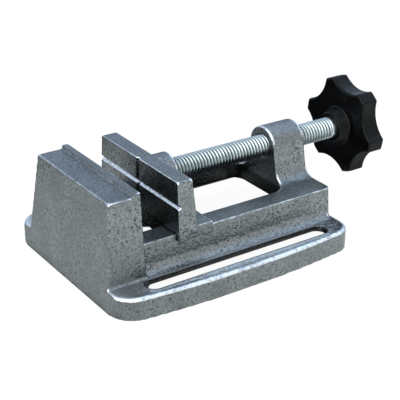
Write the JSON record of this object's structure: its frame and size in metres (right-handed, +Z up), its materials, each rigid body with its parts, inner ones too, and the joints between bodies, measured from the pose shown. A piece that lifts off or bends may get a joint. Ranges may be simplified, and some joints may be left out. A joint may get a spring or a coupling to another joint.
{
  "type": "drill press vise",
  "caption": "Small drill press vise: slotted cast base with a fixed jaw, a sliding jaw with V-grooves, a long screw through an end lug and a star knob.",
  "frame": {"origin": "on the table, under the middle of the base casting's footprint", "axes": "+Z up, +Y along the screw from the fixed jaw towards the knob, +X across the vise"},
  "size_m": [0.108, 0.1729, 0.065],
  "materials": {
    "grey_hammer_paint": "hammered",
    "zinc_steel": "zinc plated",
    "dark_steel": "plain",
    "black_phenolic": "gloss",
    "brass": "turned",
    "black_plastic": "satin"
  },
  "bodies": {
    "base": {"body_casting": "grey_hammer_paint"},
    "jaw": {"moving_jaw": "grey_hammer_paint", "jaw_pins": "dark_steel", "keeper_plate": "dark_steel", "keeper_screws": "zinc_steel", "keeper_lock_washers": "zinc_steel"},
    "screw": {"lead_screw": "zinc_steel", "star_knob": "black_phenolic", "knob_bush": "brass", "knob_washer": "zinc_steel", "knob_nut": "zinc_steel", "knob_cap": "black_plastic"}
  },
  "joints": [
    {"name": "jaw_slide", "type": "slide", "parent": "base", "child": "jaw", "axis": [0, 1, 0], "range_m": [-0.0184, 0.052]},
    {"name": "screw_turn", "type": "hinge", "parent": "jaw", "child": "screw", "pos_m": [0, -0.0091, 0.0406], "axis": [0, 1, 0], "range_deg": [-3655, 10325]}
  ],
  "couplings": [
    {"joint": "screw_turn", "follows": "jaw_slide", "rad_per_m": 3463.7}
  ]
}
